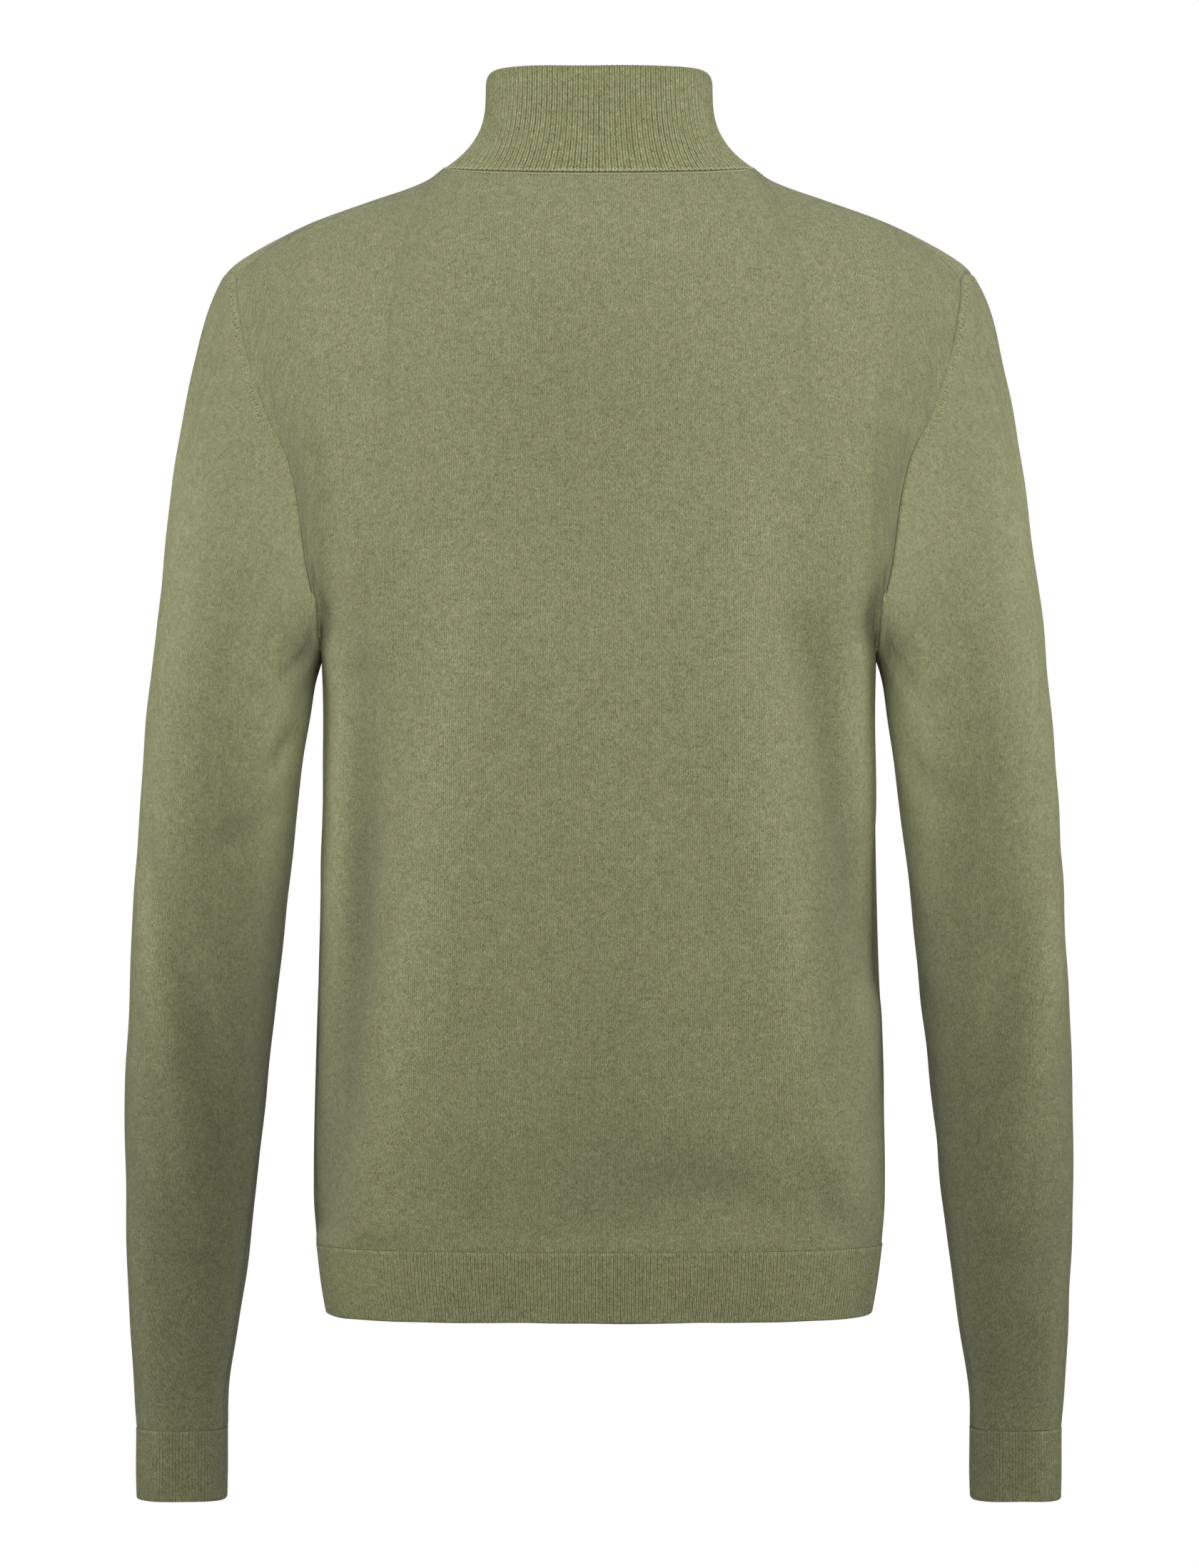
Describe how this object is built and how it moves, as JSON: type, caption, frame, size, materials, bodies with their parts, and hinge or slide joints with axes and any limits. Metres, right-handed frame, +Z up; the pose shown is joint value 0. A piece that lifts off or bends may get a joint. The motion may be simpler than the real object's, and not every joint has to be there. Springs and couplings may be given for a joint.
{
  "type": "turtleneck sweater",
  "caption": "Fine-knit turtleneck sweater with long set-in sleeves, a ribbed stand collar and ribbed hem and cuffs, filled out as when worn.",
  "frame": {"origin": "midway between the two neck points, where the collar seam meets the shoulder seams, at their height", "axes": "+Z up along the body, the back faces -Y and the front +Y, +X is the wearer's right side"},
  "size_m": [0.5324, 0.224, 0.8012],
  "materials": {
    "jersey": "matte fine jersey knit in an olive green melange yarn, with short lighter and darker flecks along the courses",
    "rib": "matte one-by-one rib knit in the same olive green melange yarn"
  },
  "bodies": {
    "root": {"back_panel": "jersey", "front_panel": "jersey", "sleeve_left": "jersey", "sleeve_right": "jersey", "collar": "rib", "hem_rib": "rib", "cuff_left": "rib", "cuff_right": "rib"}
  },
  "joints": []
}
